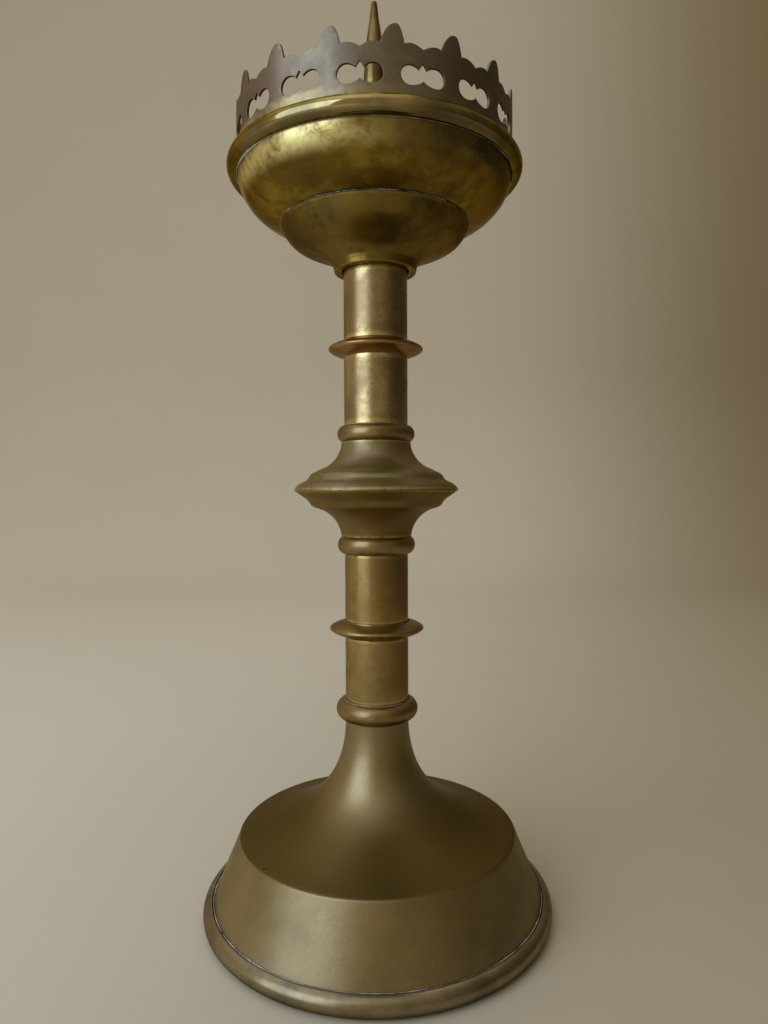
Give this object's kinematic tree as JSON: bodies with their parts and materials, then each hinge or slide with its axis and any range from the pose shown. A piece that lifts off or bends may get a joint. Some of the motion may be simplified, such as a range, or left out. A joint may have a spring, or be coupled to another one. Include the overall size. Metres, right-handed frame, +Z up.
{
  "type": "candlestick",
  "caption": "Brass altar candlestick with a pricket, a drip pan with a pierced leaf crown, a ringed stem with a knop, and a trumpet foot.",
  "frame": {"origin": "on the floor, at the centre of the foot", "axes": "+Z up along the stem, -Y towards the viewer of the picture"},
  "size_m": [0.1528, 0.1528, 0.3969],
  "materials": {
    "foot_brass": "olive-brown satin brass with turning marks and small dark pits",
    "trim_brass": "warmer copper-brown brass, polished on the high edges",
    "stem_brass": "drawn brass tube, finely scratched round, tarnished brown",
    "knop_brass": "olive-brown satin brass",
    "cup_brass": "dark tarnished brass with dried polish in its corners",
    "pan_brass": "mottled ochre and olive brass",
    "bead_brass": "yellow-olive brass, rubbed bright on top",
    "crown_brass": "brass sheet with a grey-blue patina",
    "pricket_brass": "golden brass, rubbed bright",
    "steel": "dull zinc-plated steel"
  },
  "bodies": {
    "stand": {"foot_shell": "foot_brass", "foot_ring": "trim_brass", "tie_rod": "steel", "foot_collar": "trim_brass", "lower_tube_a": "stem_brass", "lower_ring": "trim_brass", "lower_tube_b": "stem_brass", "knop_lower_collar": "trim_brass", "knop_lower_shell": "knop_brass", "knop_upper_shell": "knop_brass", "knop_upper_collar": "trim_brass", "upper_tube_a": "stem_brass", "upper_ring": "trim_brass", "upper_tube_b": "stem_brass", "neck_cup": "cup_brass", "pan_spacer": "trim_brass", "bowl": "pan_brass", "rim_bead": "bead_brass", "crown": "crown_brass", "pan_washer": "trim_brass", "pricket": "pricket_brass"},
    "washer": {"foot_washer": "trim_brass"},
    "nut": {"foot_nut": "steel"}
  },
  "joints": [
    {"name": "washer_drop", "type": "slide", "parent": "stand", "child": "washer", "axis": [0, 0, -1], "range_m": [0, 0.005]},
    {"name": "nut_turn", "type": "hinge", "parent": "washer", "child": "nut", "pos_m": [0, 0, 0.045], "axis": [0, 0, -1], "range_deg": [0, 1440]}
  ],
  "couplings": [
    {"joint": "nut_turn", "follows": "washer_drop", "rad_per_m": 5026.5}
  ]
}
